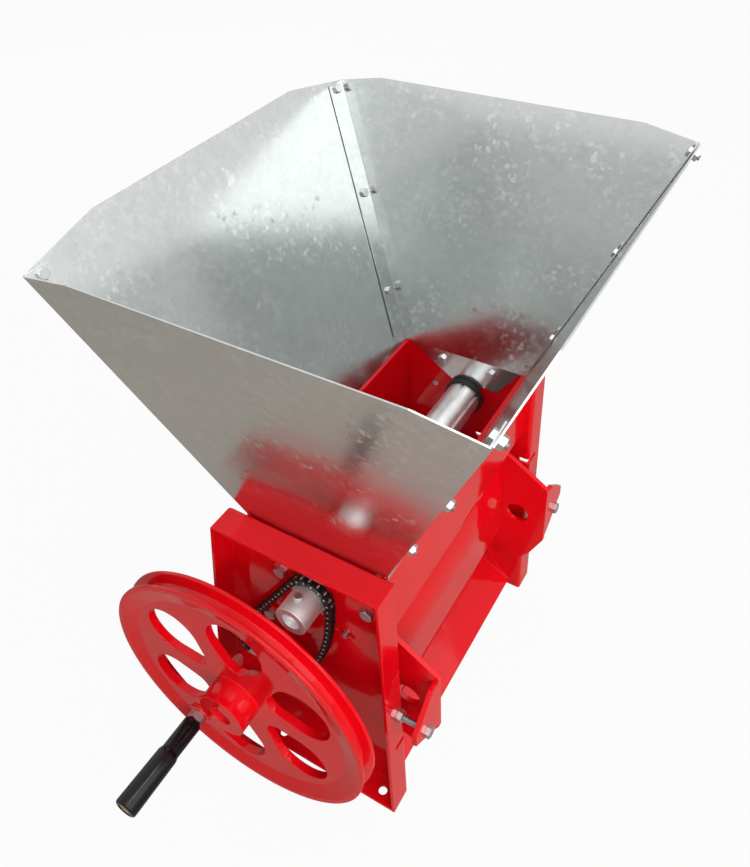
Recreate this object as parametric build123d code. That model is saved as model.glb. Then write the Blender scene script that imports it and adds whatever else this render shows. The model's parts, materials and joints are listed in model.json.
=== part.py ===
from build123d import *
import os
from math import asin, atan2, ceil, cos, degrees, hypot, pi, radians, sin, sqrt

os.makedirs("parts", exist_ok=True)

# Hand-cranked coffee huller under a galvanised hopper. Millimetres, +Z up.
# +X is the side where the beans leave and -Y is the crank side.
# The origin lies on the floor, in the middle of the four base bolts.

# Clearances
run_clear = 0.05  # radial play of a shaft, pin or screw that turns or slides
fit_clear = 0.02  # radial play of a hub or pin that stays where it is fitted
hole_clear = 0.4  # radial play of a bolt in its hole
edge_gap = 0.5  # between the edges of neighbouring sheets
face_gap = 0.1  # between a screw's shoulders and the tab that they hold

# End plates: pans of sheet with all four flanges turned outwards
plate_t = 4.0
plate_height = 412.0
plate_front = 100.0  # the front edge stands upright
plate_top_rear = 100.0  # the rear edge slopes from here
plate_base_rear = 168.0  # down to here
flange_depth = 34.0
bend_r = 5.0
base_hole_x = 75.0  # base bolts stand this far either side of the origin
base_hole_r = 5.5
relief_levels = (131.0, 269.0)  # slots cut across the front bends
relief_height = 8.0
relief_on_web = 14.0
relief_on_flange = 20.0

# Cross members between the webs
bar_front = 88.0
bar_t = 6.0
bar_depth = 94.0
throat_rear = 75.0
throat_t = 4.0
throat_clear = 8.0  # above the drum
tie_leg = 30.0
tie_t = 4.0
tie_x = -150.0
tie_z = 25.0

# Discharge chute
chute_t = 3.0
chute_lip_x = 84.0
chute_lip_z = 18.0
chute_top_x = -40.0
chute_top_z = 95.0
cheek_rise = 15.0  # of the side cheeks above the chute at its inner end
cheek_lip = 2.0  # and at its lip
cheek_peak_x = 48.0  # where the curved front edge of a cheek ends
cheek_peak_rise = 44.5
cheek_sag = 8.0  # hollow of that curved edge
chute_bolt_x = (40.0, -14.0)
chute_bolt_rise = 11.0

# Main shaft, drum and flywheel
shaft_x = -64.5
shaft_z = 202.0
shaft_r = 12.5
shaft_far_reach = 16.0  # past the far web
shaft_recess = 4.0  # of its near end in the wheel's hub
drum_r = 80.0
drum_wall = 5.0
drum_half = 146.0  # half the working width, which the frame's width follows
drum_disc_t = 8.0
drum_boss_r = 24.0
drum_boss_reach = 6.0
sleeve_t = 2.0
collar_r = 20.0
collar_width = 8.0

wheel_standoff = 62.0  # rear rim face from the near web
wheel_r = 168.5
rim_width = 24.0
rim_depth = 20.0
groove_top = 16.0
groove_floor = 8.0
groove_depth = 11.0
wheel_web_t = 10.0
rim_land = 6.0  # flat front edge of the rim
dish_slope = 20.0  # width of the sloping band inside that edge
dish_depth = 5.3  # of the web's front face behind it
hub_r = 30.0
nose_reach = 23.5  # hub past the front rim face
hub_rear = 18.0  # hub past the rear rim face
window_count = 6
window_angle = 22.0
window_margin = 13.5  # from a window to the rim
window_outer_r = 36.0
window_inner_r = 18.0
window_reach = 31.0  # between the middles of its wide and narrow ends
key_width = 8.0
key_height = 7.0
key_depth = 4.0  # sunk in the shaft
key_length = 30.0

# Crank
crank_inset = 18.5  # spindle's axis from the inside of the rim
crank_angle = 234.0
crank_boss_r = 15.0
crank_boss = 3.0
spindle_r = 6.0
grip_length = 119.0
grip_thick_length = 74.0
grip_thick_r = 14.3  # at the free end
grip_waist_r = 13.2  # at the other end of the thick part
grip_thin_r = 11.5
grip_edge = 2.0
grip_play = 0.5
screw_head_r = 8.0
screw_head = 6.0
screw_sink = 1.0  # of the screw's head in the end of the grip
screw_clear = 0.6  # round the head
screw_slot = 1.6

# Feed roller in the throat
feed_x = 7.5
feed_drop = 60.0  # below the top of the end plates
feed_shaft_r = 10.0
feed_shaft_far = 14.0
feed_roller_r = 22.0
ring_clear = 2.0  # from an end ring of the roller to the web beside it
flute_count = 6
flute_angle = 30.0
flute_width = 4.0
flute_depth = 3.0
ring_r = 25.5
ring_width = 7.0

# Chain drive in front of the near web
chain_standoff = 14.0
chain_pitch = 9.525
roller_r = 2.54
seat_clear = 0.3
drive_teeth = 30
feed_teeth = 15
sprocket_t = 4.3
tooth_tip = 1.7
seat_spread = 65.0  # half the arc of a tooth gap that cups a roller
drive_hub_r = 20.0
drive_hub_length = 26.0
feed_hub_r = 18.0
feed_hub_length = 34.0
feed_hub_recess = 6.0
link_inner = 5.2  # between the inner plates
link_plate_t = 1.2
link_half_height = 3.9
link_point = 0.3  # how much longer than round the ends of a link are
roller_sides = 6

# Flange bearings on the outer faces of the webs
bearing_flange_t = 4.0
bearing_body_r = 24.0
bearing_ear_r = 11.0
bearing_boss_r = 19.0
bearing_boss = 8.0  # boss height above the web
feed_bolt_front = 62.0  # bolts either side of the feed shaft
feed_bolt_rear = 45.0
main_bolt_half = 58.0  # bolts above and below the main shaft

# Breast: the curved plate that faces the drum and its outer skin
breast_gap = 4.0
breast_t = 4.0
breast_over = 1.0  # past each end of the drum
breast_low = -38.0
breast_high = 42.0
breast_lap = 12.0  # of the breast behind the front bar
skin_top_x = 67.0
skin_knee_z = 258.0
skin_bulge_x = 75.0
skin_bulge_z = 205.0
skin_foot_x = 73.0
skin_foot_z = 145.0
bracket_t = 6.0
bracket_clear = 15.0  # from a bracket to the web beside it
bracket_front = 136.0
bracket_shoulder = 300.0
bracket_high = 252.0
bracket_low = 156.0
bracket_chin_x = 102.0
bracket_chin_z = 97.0
bracket_heel_x = 59.0
bracket_heel_z = 110.0
spanner_hole_x = 97.0
spanner_hole_r = 15.0
tab_margin = 24.0  # outside the adjuster
tab_top = 55.0  # above it
tab_foot = 33.0  # below it
tab_shoulder = 34.0  # height of the tab's sloping upper edge
tab_lean = 1.0
guide_x = 36.0
guide_z = 287.0
guide_r = 3.5
guide_ahead = 7.0  # slot in front of a pin
guide_behind = 11.0  # and behind it
guide_reach = 4.0

# Adjusting screws
adjuster_from_web = 11.0
adjuster_z = 191.0
adjuster_tip = 84.0

# Hopper
hopper_t = 1.5
hopper_rise = 298.0
hopper_rear_out = 123.0
hopper_front_out = 134.0
hopper_side_out = 73.5
side_crown = 10.0
side_clip = 57.0
end_crown = 17.0
end_clip = 88.0
seam_width = 25.0
seam_start = 14.0
seam_bolt_drop = 6.0
seam_bolt_pitch = 114.0
seam_bolt_count = 3
tongue_depth = 41.0
tongue_rear_x = -12.0
tongue_front_x = 50.0
tongue_edge = 2.0
skirt_depth = 6.0
seat_bolt_drop = 14.0
side_seat_bolts = (-26.0, 41.0)

# Fasteners: shank radius, half the width across flats, head height, nut height
small_bolt = (3.0, 5.0, 4.0, 5.0)
large_bolt = (4.0, 6.5, 5.3, 6.5)
crank_bolt = (6.0, 9.5, 7.5, 10.0)
bolt_spare = 2.0  # thread past a nut
shank_sides = 6
set_screw_r = 3.0
set_screw_flat = 4.0
set_screw_head = 4.0

# Places that follow from the sizes above
breast_half = drum_half + breast_over
frame_gap = 2 * (breast_half + bracket_t + bracket_clear)  # between the two webs
web_in = frame_gap / 2
web_out = web_in + plate_t
flange_tip = web_in + flange_depth
base_hole_y = (web_out + flange_tip) / 2
feed_z = plate_height - feed_drop
feed_bolts_x = (feed_x + feed_bolt_front, feed_x - feed_bolt_rear)
main_bolts_z = (shaft_z + main_bolt_half, shaft_z - main_bolt_half)
feed_roller_half = web_in - ring_clear - ring_width
chain_y = -(web_out + chain_standoff)
rim_rear = -(web_out + wheel_standoff)
rim_front = rim_rear - rim_width
wheel_web_front = rim_front + dish_depth
wheel_web_rear = wheel_web_front + wheel_web_t
hub_front = rim_front - nose_reach
hub_back = rim_rear + hub_rear
shaft_end = hub_front + shaft_recess
rim_inner = wheel_r - rim_depth
dish_r = wheel_r - rim_land - dish_slope
window_outer_at = rim_inner - window_margin - window_outer_r  # where the wide end of a window is centred
window_inner_at = window_outer_at - window_reach
crank_throw = rim_inner - crank_inset
crank_x = shaft_x + crank_throw * cos(radians(crank_angle))
crank_z = shaft_z + crank_throw * sin(radians(crank_angle))
sleeve_r = drum_r + sleeve_t
throat_depth = plate_height - shaft_z - sleeve_r - throat_clear
breast_r = sleeve_r + breast_gap
breast_top = plate_height - bar_depth + breast_lap
adjuster_y = web_in + adjuster_from_web
tab_reach = adjuster_y + tab_margin - breast_half
tab_inner = bracket_front - bracket_t
foot_z = plate_height
foot_front = bar_front
foot_rear = -(throat_rear + throat_t)
hopper_half = web_in - hopper_t
hopper_top = foot_z + hopper_rise
seat_bolt_z = foot_z - seat_bolt_drop
chute_slope = (chute_top_z - chute_lip_z) / (chute_lip_x - chute_top_x)

parts = {}


# Helpers for solids along the axes
def rod(x, z, radius, y_start, y_end):
    seat = Plane(origin=(x, min(y_start, y_end), z), z_dir=(0, 1, 0))
    return extrude(seat * Circle(radius), amount=abs(y_end - y_start))


def rod_x(y, z, radius, x_start, x_end):
    seat = Plane(origin=(min(x_start, x_end), y, z), z_dir=(1, 0, 0))
    return extrude(seat * Circle(radius), amount=abs(x_end - x_start))


def rod_z(x, y, radius, z_start, z_end):
    return extrude(Plane(origin=(x, y, z_start)) * Circle(radius), amount=z_end - z_start)


def block(x_span, y_span, z_span):
    low = [min(span) for span in (x_span, y_span, z_span)]
    size = [abs(span[1] - span[0]) for span in (x_span, y_span, z_span)]
    return Pos(*low) * Box(*size, align=(Align.MIN, Align.MIN, Align.MIN))


def edges_in_xz(points):
    return Polyline(*[(x, 0, z) for x, z in points])


def slab(wire, y_start, y_end):
    """Extrude a closed outline, drawn in the plane Y = 0, between two values of Y."""
    face = Pos(0, min(y_start, y_end), 0) * make_face(wire)
    return extrude(face, amount=abs(y_end - y_start), dir=(0, 1, 0))


def plate_xz(points, y_start, y_end):
    return slab(edges_in_xz(list(points) + [points[0]]), y_start, y_end)


def arc_xz(centre, radius, start, end):
    at = [(centre[0] + radius * cos(radians(a)), 0, centre[1] + radius * sin(radians(a)))
          for a in (start, (start + end) / 2, end)]
    return ThreePointArc(*at)


def turned(profile, x, y, z):
    """Revolve a profile of radius and distance along +Y about the line through x and z."""
    wire = Polyline(*profile, profile[0])
    face = make_face(Plane.XZ * wire)
    solid = revolve(face, axis=Axis.Z, revolution_arc=360)
    return Plane(origin=(x, y, z), x_dir=(1, 0, 0), z_dir=(0, 1, 0)) * solid


def mirrored(shape):
    return mirror(shape, about=Plane.XZ)


def group(solids):
    return Compound(children=list(solids))


# Fasteners
def hexagon(seat, half_flats):
    return seat * RegularPolygon(half_flats, 6, major_radius=False)


def shank(radius):
    """Shanks and the holes that they pass through are drawn with few sides."""
    return RegularPolygon(radius, shank_sides)


def bolt(kind, seat_point, direction, length):
    radius, half_flats, head, nut_height = kind
    seat = Plane(origin=seat_point, z_dir=direction)
    return extrude(hexagon(seat, half_flats), amount=-head) + extrude(seat * shank(radius), amount=length)


def nut(kind, seat_point, direction, bore=shank):
    radius, half_flats, head, nut_height = kind
    seat = Plane(origin=seat_point, z_dir=direction)
    return extrude(hexagon(seat, half_flats) - seat * bore(radius + fit_clear), amount=nut_height)


def bolt_hole(kind, point, direction, depth, clear=hole_clear):
    seat = Plane(origin=point, z_dir=direction)
    return extrude(seat * shank(kind[0] + clear), amount=depth, both=True)


def fastened(kind, point, direction, grip):
    """A bolt whose head seats at a point, and the nut on the far side of what it clamps."""
    along = Vector(*direction).normalized()
    length = grip + kind[3] + bolt_spare
    nut_seat = Vector(*point) + along * grip
    return bolt(kind, point, along, length), nut(kind, nut_seat, along)


# End plates
def plate_rear(z):
    return -plate_base_rear + (plate_base_rear - plate_top_rear) * z / plate_height


def web_bolts():
    """Places, kinds and play of the bolts in a web; the feed bearing's bolts are screwed into it."""
    for x in feed_bolts_x:
        yield x, feed_z, large_bolt, fit_clear
    for z in main_bolts_z:
        yield shaft_x, z, large_bolt, hole_clear
    for x in side_seat_bolts:
        yield x, seat_bolt_z, small_bolt, hole_clear
    for x in chute_bolt_x:
        yield x, chute_level(x) + chute_bolt_rise, small_bolt, hole_clear


def chute_level(x):
    return chute_lip_z + (chute_lip_x - x) * chute_slope


def end_plate():
    """The far plate, with its flanges towards +Y."""
    lean = hypot(1, (plate_base_rear - plate_top_rear) / plate_height)
    outline = [(plate_front, 0), (plate_front, plate_height),
               (plate_rear(plate_height), plate_height), (plate_rear(0), 0)]
    top, bottom = plate_height - plate_t, plate_t
    inside = [(plate_front - plate_t, bottom), (plate_front - plate_t, top),
              (plate_rear(top) + plate_t * lean, top), (plate_rear(bottom) + plate_t * lean, bottom)]
    pan = plate_xz(outline, web_in, flange_tip)
    pan = fillet(pan.edges().filter_by_position(Axis.Y, web_in, web_in), bend_r)
    pan -= plate_xz(inside, web_out, flange_tip + plate_t)
    cuts = [bolt_hole(kind, (x, web_in, z), (0, 1, 0), 2 * plate_t, clear)
            for x, z, kind, clear in web_bolts()]
    cuts += [rod(x, z, radius + hole_clear, web_in - plate_t, web_out + plate_t)
             for x, z, radius in ((shaft_x, shaft_z, shaft_r), (feed_x, feed_z, feed_shaft_r))]
    slot_ends = (guide_x - guide_behind, guide_x + guide_ahead)
    cuts.append(block(slot_ends, (web_in - plate_t, web_out + plate_t),
                      (guide_z - guide_r - run_clear, guide_z + guide_r + run_clear)))
    cuts += [rod(x, guide_z, guide_r + run_clear, web_in - plate_t, web_out + plate_t) for x in slot_ends]
    for level in relief_levels:
        height = (level - relief_height / 2, level + relief_height / 2)
        cuts.append(block((plate_front - relief_on_web, plate_front + plate_t),
                          (web_in - plate_t, web_out), height))
        cuts.append(block((plate_front - plate_t, plate_front + plate_t),
                          (web_in - plate_t, web_in + relief_on_flange), height))
    cuts.append(rod_x(adjuster_y, adjuster_z, large_bolt[0] + hole_clear,
                      plate_front - 2 * plate_t, plate_front + plate_t))
    cuts += [rod_z(x, base_hole_y, base_hole_r, -plate_t, 2 * plate_t) for x in (-base_hole_x, base_hole_x)]
    return pan - cuts


far_plate = end_plate()
parts["far_end_plate"] = far_plate
parts["near_end_plate"] = mirrored(far_plate)


# Cross members
def front_cross_bar():
    return block((bar_front - bar_t, bar_front), (-web_in, web_in),
                 (plate_height - bar_depth, plate_height - edge_gap))


def rear_throat_plate():
    return block((-throat_rear - throat_t, -throat_rear), (-web_in, web_in),
                 (plate_height - throat_depth, plate_height - edge_gap))


def rear_tie_bar():
    angle = [(tie_x, tie_z), (tie_x + tie_leg, tie_z), (tie_x + tie_leg, tie_z + tie_t),
             (tie_x + tie_t, tie_z + tie_t), (tie_x + tie_t, tie_z + tie_leg), (tie_x, tie_z + tie_leg)]
    return plate_xz(angle, -web_in, web_in)


parts["front_cross_bar"] = front_cross_bar()
parts["rear_throat_plate"] = rear_throat_plate()
parts["rear_tie_bar"] = rear_tie_bar()


# Discharge chute: a sloping floor between two upright cheeks
def discharge_chute():
    drop = chute_t * hypot(1, chute_slope)
    floor = plate_xz([(chute_lip_x, chute_lip_z), (chute_lip_x, chute_lip_z - drop),
                      (chute_top_x, chute_top_z - drop), (chute_top_x, chute_top_z)], -web_in, web_in)
    lip = (chute_lip_x, 0, chute_lip_z + cheek_lip)
    peak = (cheek_peak_x, 0, chute_level(cheek_peak_x) + cheek_peak_rise)
    lean = hypot(peak[0] - lip[0], peak[2] - lip[2])
    middle = ((lip[0] + peak[0]) / 2 - cheek_sag * (peak[2] - lip[2]) / lean, 0,
              (lip[2] + peak[2]) / 2 - cheek_sag * (lip[0] - peak[0]) / lean)
    back = edges_in_xz([(peak[0], peak[2]), (chute_top_x, chute_top_z + cheek_rise),
                        (chute_top_x, chute_top_z - drop), (chute_lip_x, chute_lip_z - drop),
                        (lip[0], lip[2])])
    cheek = slab(ThreePointArc(lip, middle, peak) + back, web_in - chute_t, web_in)
    holes = [bolt_hole(small_bolt, (x, 0, chute_level(x) + chute_bolt_rise), (0, 1, 0), web_out)
             for x in chute_bolt_x]
    return floor + cheek + mirrored(cheek) - holes


parts["discharge_chute"] = discharge_chute()
chute_fasteners = [fastened(small_bolt, (x, side * web_out, chute_level(x) + chute_bolt_rise), (0, -side, 0),
                            plate_t + chute_t) for x in chute_bolt_x for side in (-1, 1)]
parts["chute_bolts"] = group(pair[0] for pair in chute_fasteners)
parts["chute_nuts"] = group(pair[1] for pair in chute_fasteners)


# Flange bearings
def flange_bearing(x, z, bore_r, along, reaches):
    """A bearing on the far web, its boss towards +Y and an ear either way along a direction."""
    seat = Plane(origin=(x, web_out, z), x_dir=(along[0], 0, along[1]), z_dir=(0, 1, 0))
    oval = Circle(bearing_body_r)
    cuts = [rod(x, z, bore_r + run_clear, web_in, web_out + 2 * bearing_boss)]
    for side, reach in zip((1, -1), reaches):
        waist = asin((bearing_body_r - bearing_ear_r) / reach)
        flanks = [(side * (at + radius * sin(waist)), radius * cos(waist))
                  for at, radius in ((0, bearing_body_r), (reach, bearing_ear_r))]
        corners = flanks + [(a, -b) for a, b in reversed(flanks)]
        oval += make_face(Polyline(*corners, corners[0]))
        oval += Pos(side * reach, 0) * Circle(bearing_ear_r)
        ear = (x + side * reach * along[0], web_out, z + side * reach * along[1])
        cuts.append(bolt_hole(large_bolt, ear, (0, 1, 0), bearing_boss))
    body = extrude(seat * oval, amount=bearing_flange_t)
    body += rod(x, z, bearing_boss_r, web_out, web_out + bearing_boss)
    return body - cuts


far_main = flange_bearing(shaft_x, shaft_z, shaft_r, (0, 1), (main_bolt_half, main_bolt_half))
far_feed = flange_bearing(feed_x, feed_z, feed_shaft_r, (1, 0), (feed_bolt_front, feed_bolt_rear))
parts["far_main_bearing"] = far_main
parts["near_main_bearing"] = mirrored(far_main)
parts["far_feed_bearing"] = far_feed
parts["near_feed_bearing"] = mirrored(far_feed)

bearing_face = web_out + bearing_flange_t
bearing_grip = plate_t + bearing_flange_t
main_fasteners = [fastened(large_bolt, (shaft_x, side * bearing_face, z), (0, -side, 0), bearing_grip)
                  for z in main_bolts_z for side in (-1, 1)]
feed_screws = [bolt(large_bolt, (x, side * bearing_face, feed_z), (0, -side, 0), bearing_grip)
               for x in feed_bolts_x for side in (-1, 1)]
parts["bearing_bolts"] = group([pair[0] for pair in main_fasteners] + feed_screws)
parts["bearing_nuts"] = group(pair[1] for pair in main_fasteners)


# Main shaft and drum
def main_shaft():
    shaft = rod(shaft_x, shaft_z, shaft_r, shaft_end, web_out + shaft_far_reach)
    keyway = block((shaft_x - key_width / 2, shaft_x + key_width / 2), (shaft_end, shaft_end + key_length),
                   (shaft_z + shaft_r - key_depth, shaft_z + 2 * shaft_r))
    return shaft - keyway


def ring_on_shaft(x, z, outer, inner, y_start, y_end):
    return rod(x, z, outer, y_start, y_end) - rod(x, z, inner, y_start, y_end)


def drum_disc():
    """The far end disc of the drum with its boss on the shaft."""
    bore = shaft_r + fit_clear
    disc = ring_on_shaft(shaft_x, shaft_z, drum_r - drum_wall, bore, drum_half - drum_disc_t, drum_half)
    return disc + ring_on_shaft(shaft_x, shaft_z, drum_boss_r, bore, drum_half, drum_half + drum_boss_reach)


parts["main_shaft"] = main_shaft()
parts["drum_tube"] = ring_on_shaft(shaft_x, shaft_z, drum_r, drum_r - drum_wall, -drum_half, drum_half)
far_disc = drum_disc()
parts["drum_end_discs"] = group([far_disc, mirrored(far_disc)])
parts["drum_sleeve"] = ring_on_shaft(shaft_x, shaft_z, sleeve_r, drum_r + fit_clear, -drum_half, drum_half)
collar_start = web_out + bearing_boss + face_gap
parts["shaft_collar"] = ring_on_shaft(shaft_x, shaft_z, collar_r, shaft_r + fit_clear, collar_start,
                                      collar_start + collar_width)


# Flywheel with a belt groove in its rim and windows in its web
def wheel_window():
    flare = asin((window_outer_r - window_inner_r) / window_reach)
    flanks = []
    for centre, radius in ((window_inner_at, window_inner_r), (window_outer_at, window_outer_r)):
        flanks.append((centre - radius * sin(flare), radius * cos(flare)))
    corners = flanks + [(r, -across) for r, across in reversed(flanks)]
    window = make_face(Polyline(*corners, corners[0]))
    window += Pos(window_inner_at, 0) * Circle(window_inner_r)
    return window + Pos(window_outer_at, 0) * Circle(window_outer_r)


def flywheel_pulley():
    bore = shaft_r + fit_clear
    web_1, web_2 = wheel_web_front - rim_front, wheel_web_rear - rim_front
    lip = (rim_width - groove_top) / 2
    floor = (rim_width - groove_floor) / 2
    profile = [(bore, -nose_reach), (hub_r, -nose_reach), (hub_r, web_1), (dish_r, web_1),
               (wheel_r - rim_land, 0), (wheel_r, 0), (wheel_r, lip), (wheel_r - groove_depth, floor),
               (wheel_r - groove_depth, rim_width - floor), (wheel_r, rim_width - lip), (wheel_r, rim_width),
               (rim_inner, rim_width), (rim_inner, web_2), (hub_r, web_2), (hub_r, rim_width + hub_rear),
               (bore, rim_width + hub_rear)]
    wheel = turned(profile, shaft_x, rim_front, shaft_z)
    wheel += rod(crank_x, crank_z, crank_boss_r, wheel_web_front - crank_boss, wheel_web_rear)
    face = Plane(origin=(shaft_x, wheel_web_front - wheel_web_t, shaft_z), x_dir=(1, 0, 0), z_dir=(0, 1, 0))
    cuts = []
    for index in range(window_count):
        turn = Rot(0, 0, -window_angle - 360 * index / window_count)
        cuts.append(extrude(face * (turn * wheel_window()), amount=3 * wheel_web_t))
    cuts.append(rod(crank_x, crank_z, spindle_r + fit_clear, rim_front, rim_rear))
    key_top = shaft_z + shaft_r - key_depth + key_height
    cuts.append(block((shaft_x - key_width / 2, shaft_x + key_width / 2), (hub_front, hub_back),
                      (shaft_z, key_top)))
    return wheel - cuts


def flywheel_key():
    low = shaft_z + shaft_r - key_depth
    return block((shaft_x - key_width / 2, shaft_x + key_width / 2), (shaft_end, shaft_end + key_length),
                 (low, low + key_height))


parts["flywheel_pulley"] = flywheel_pulley()
parts["flywheel_key"] = flywheel_key()


# Crank: a spindle through the wheel's web and a grip that turns on it
boss_front = wheel_web_front - crank_boss
grip_start = boss_front - crank_bolt[3] - grip_play
grip_end = grip_start - grip_length
head_start = grip_end + screw_sink
head_seat = head_start + screw_head


def crank_spindle():
    tail = wheel_web_rear + crank_bolt[3] + bolt_spare
    spindle = rod(crank_x, crank_z, spindle_r, head_seat, tail)
    spindle += rod(crank_x, crank_z, screw_head_r, head_start, head_seat)
    slot = block((crank_x - 2 * screw_head_r, crank_x + 2 * screw_head_r),
                 (head_start - screw_head, head_start + screw_head / 2),
                 (crank_z - screw_slot / 2, crank_z + screw_slot / 2))
    return spindle - slot


def crank_grip():
    bore = spindle_r + run_clear
    pocket_r = screw_head_r + screw_clear
    pocket = head_seat + grip_play - grip_end
    profile = [(bore, pocket), (pocket_r, pocket), (pocket_r, 0), (grip_thick_r - grip_edge, 0),
               (grip_thick_r, grip_edge), (grip_waist_r, grip_thick_length - grip_edge),
               (grip_thin_r, grip_thick_length + grip_edge), (grip_thin_r, grip_length - grip_edge),
               (grip_thin_r - grip_edge, grip_length), (bore, grip_length)]
    return turned(profile, crank_x, grip_end, crank_z)


parts["crank_spindle"] = crank_spindle()
parts["crank_nuts"] = group([nut(crank_bolt, (crank_x, boss_front, crank_z), (0, -1, 0), Circle),
                             nut(crank_bolt, (crank_x, wheel_web_rear, crank_z), (0, 1, 0), Circle)])
parts["crank_grip"] = crank_grip()


# Feed roller with lengthwise flutes
def feed_shaft():
    hub_end = chain_y - sprocket_t / 2 - feed_hub_length
    return rod(feed_x, feed_z, feed_shaft_r, hub_end + feed_hub_recess, web_out + feed_shaft_far)


def feed_roller():
    roller = ring_on_shaft(feed_x, feed_z, feed_roller_r, feed_shaft_r + fit_clear, -feed_roller_half,
                           feed_roller_half)
    flutes = []
    for index in range(flute_count):
        seat = Plane(origin=(feed_x, -feed_roller_half, feed_z), x_dir=(1, 0, 0), z_dir=(0, 1, 0))
        turn = Rot(0, 0, flute_angle + 360 * index / flute_count)
        groove = turn * (Pos(feed_roller_r, 0) * Rectangle(2 * flute_depth, flute_width))
        flutes.append(extrude(seat * groove, amount=2 * feed_roller_half))
    return roller - flutes


far_ring = ring_on_shaft(feed_x, feed_z, ring_r, feed_shaft_r + fit_clear, feed_roller_half,
                         feed_roller_half + ring_width)
parts["feed_shaft"] = feed_shaft()
parts["feed_roller"] = feed_roller()
parts["feed_end_rings"] = group([far_ring, mirrored(far_ring)])


# Chain run: taut on the rear side, slack and bowed out on the front side
def chain_run():
    """Pin points of the closed chain and the tooth phases of the two sprockets."""
    upper, lower = (feed_x, feed_z), (shaft_x, shaft_z)
    upper_r, lower_r = (teeth * chain_pitch / (2 * pi) for teeth in (feed_teeth, drive_teeth))
    span = hypot(lower[0] - upper[0], lower[1] - upper[1])
    along = ((lower[0] - upper[0]) / span, (lower[1] - upper[1]) / span)
    rear = (along[1], -along[0])
    tilt = asin((lower_r - upper_r) / span)
    taut = [cos(tilt) * rear[i] - sin(tilt) * along[i] for i in (0, 1)]
    strand = sqrt(span ** 2 - (lower_r - upper_r) ** 2)
    shortest = 2 * strand + upper_r * (pi - 2 * tilt) + lower_r * (pi + 2 * tilt)
    links = 2 * ceil(shortest / (2 * chain_pitch))
    taut_angle = atan2(taut[1], taut[0])

    def slack_loop(bow):
        """Wrap angles and total length when the slack side is an arc of a given radius."""
        near_u, near_l = bow - upper_r, bow - lower_r
        offset = (near_u ** 2 - near_l ** 2 + span ** 2) / (2 * span)
        height = sqrt(max(near_u ** 2 - offset ** 2, 0))
        centre = [upper[i] + offset * along[i] + height * rear[i] for i in (0, 1)]
        turn_u = atan2(upper[1] - centre[1], upper[0] - centre[0])
        turn_l = atan2(lower[1] - centre[1], lower[0] - centre[0])
        wraps = [(start - end) % (2 * pi)
                 for start, end in ((taut_angle, turn_u), (turn_u, turn_l), (turn_l, taut_angle))]
        length = upper_r * wraps[0] + bow * wraps[1] + lower_r * wraps[2] + strand
        return length, wraps, centre, turn_u, turn_l

    tight, wide = (span + upper_r + lower_r) / 2, 100 * span
    for step in range(80):
        bow = sqrt(tight * wide)
        if slack_loop(bow)[0] > links * chain_pitch:
            tight = bow
        else:
            wide = bow
    length, wraps, centre, turn_u, turn_l = slack_loop(bow)
    pins = []
    for index in range(links):
        travel = index * chain_pitch
        arcs = ((upper, upper_r, taut_angle, wraps[0]), (centre, bow, turn_u, wraps[1]),
                (lower, lower_r, turn_l, wraps[2]))
        for middle, radius, start, wrap in arcs:
            if travel <= radius * wrap:
                angle = start - travel / radius
                pins.append((middle[0] + radius * cos(angle), middle[1] + radius * sin(angle)))
                break
            travel -= radius * wrap
        else:
            foot = [lower[i] + lower_r * taut[i] for i in (0, 1)]
            pins.append(tuple(foot[i] - travel * along_strand(upper, upper_r, foot, taut)[i] for i in (0, 1)))
    arc_start = upper_r * wraps[0] + bow * wraps[1]
    first = ceil(arc_start / chain_pitch)
    lower_phase = turn_l - (first * chain_pitch - arc_start) / lower_r
    return pins, taut_angle, lower_phase


def along_strand(upper, upper_r, foot, taut):
    """Unit vector down the taut strand, from the upper sprocket to the lower one."""
    head = [upper[i] + upper_r * taut[i] for i in (0, 1)]
    length = hypot(foot[0] - head[0], foot[1] - head[1])
    return [(foot[i] - head[i]) / length for i in (0, 1)]


chain_pins, feed_phase, drive_phase = chain_run()


def chain_plate(start, end, y_start, y_end):
    length = hypot(end[0] - start[0], end[1] - start[1])
    tall, point = link_half_height, link_half_height + link_point
    outline = [(0, tall), (length, tall), (length + point, 0), (length, -tall), (0, -tall), (-point, 0)]
    ux, uz = (end[0] - start[0]) / length, (end[1] - start[1]) / length
    corners = [(start[0] + a * ux - b * uz, start[1] + a * uz + b * ux) for a, b in outline]
    return plate_xz(corners, y_start, y_end)


def chain_roller(pin):
    seat = Plane(origin=(pin[0], chain_y - link_inner / 2, pin[1]), z_dir=(0, 1, 0))
    return extrude(seat * RegularPolygon(roller_r, roller_sides), amount=link_inner)


def drive_chain():
    """Inner links hold the rollers; the outer plates lie on them, face to face."""
    solids = []
    inner, outer = link_inner / 2, link_inner / 2 + link_plate_t
    for index, start in enumerate(chain_pins):
        end = chain_pins[(index + 1) % len(chain_pins)]
        depth = inner if index % 2 == 0 else outer
        plates = [chain_plate(start, end, chain_y + side * depth, chain_y + side * (depth + link_plate_t))
                  for side in (-1, 1)]
        if index % 2 == 0:
            solids.append(plates[0] + [plates[1], chain_roller(start), chain_roller(end)])
        else:
            solids += plates
    return group(solids)


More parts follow.
